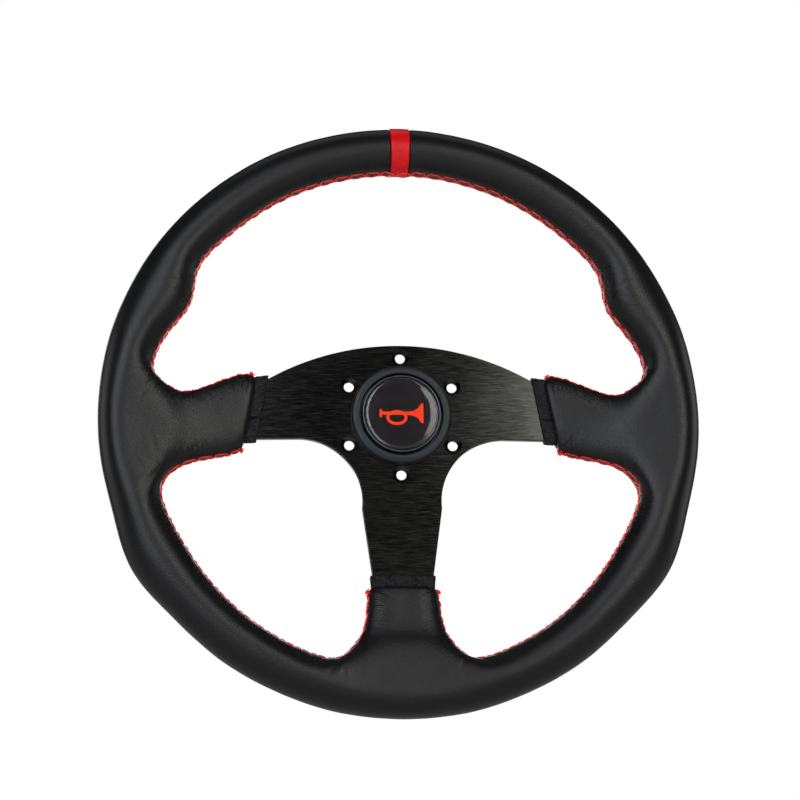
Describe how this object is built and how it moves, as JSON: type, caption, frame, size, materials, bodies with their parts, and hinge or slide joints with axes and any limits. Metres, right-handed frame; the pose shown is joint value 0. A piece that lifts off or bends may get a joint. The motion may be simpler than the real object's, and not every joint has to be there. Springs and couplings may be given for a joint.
{
  "type": "steering wheel",
  "caption": "Flat three-spoke sport steering wheel with a leather rim, laced seams, a centre marker and a horn button that presses in.",
  "frame": {"origin": "on the wheel's axis, at the back face of the spoke plate, which is the face that bolts to the hub", "axes": "+Z towards 12 o'clock, +X to the driver's right, +Y along the wheel's axis away from the driver, towards the steering column"},
  "size_m": [0.35, 0.0467, 0.3514],
  "materials": {
    "spoke_plate": "brushed crosswise and black anodised",
    "hoop": "plain rolled",
    "foam": "moulded polyurethane foam with a skin",
    "leather": "smooth black, fine grain, semi-matt",
    "marker": "smooth red, semi-gloss",
    "thread": "waxed orange-red thread",
    "collar": "thin black strip, wrinkled",
    "housing": "moulded, satin slate grey",
    "cap": "moulded, satin",
    "emblem": "printed dark disc with a plain horn sign",
    "resin": "clear domed resin",
    "contact": "stamped sheet",
    "spring": "drawn spring steel",
    "steel": "zinc plated",
    "insulator": "moulded phenolic"
  },
  "bodies": {
    "wheel": {"spoke_plate": "spoke_plate", "rim_hoop": "hoop", "rim_foam": "foam", "leather_wrap": "leather", "centre_marker": "marker", "seam_thread_upper": "thread", "seam_thread_lower_left": "thread", "seam_thread_lower_right": "thread", "collar_left": "collar", "collar_right": "collar", "collar_bottom": "collar", "horn_housing": "housing", "fixed_contact": "contact", "terminal_left": "contact", "terminal_right": "contact", "return_spring": "spring", "contact_base": "insulator", "hoop_rivet_1": "steel", "hoop_rivet_2": "steel", "hoop_rivet_3": "steel", "hoop_rivet_4": "steel", "hoop_rivet_5": "steel", "hoop_rivet_6": "steel", "base_screw_1": "steel", "housing_clip_1": "spring", "base_screw_2": "steel", "housing_clip_2": "spring", "base_screw_3": "steel", "housing_clip_3": "spring"},
    "horn_button": {"horn_cap": "cap", "emblem_disc": "emblem", "resin_dome": "resin", "moving_contact": "contact"}
  },
  "joints": [
    {"name": "horn_press", "type": "slide", "parent": "wheel", "child": "horn_button", "axis": [0, 1, 0], "range_m": [0, 0.0025], "stiffness_N_per_m": 1200, "deforming": ["return_spring"]}
  ]
}
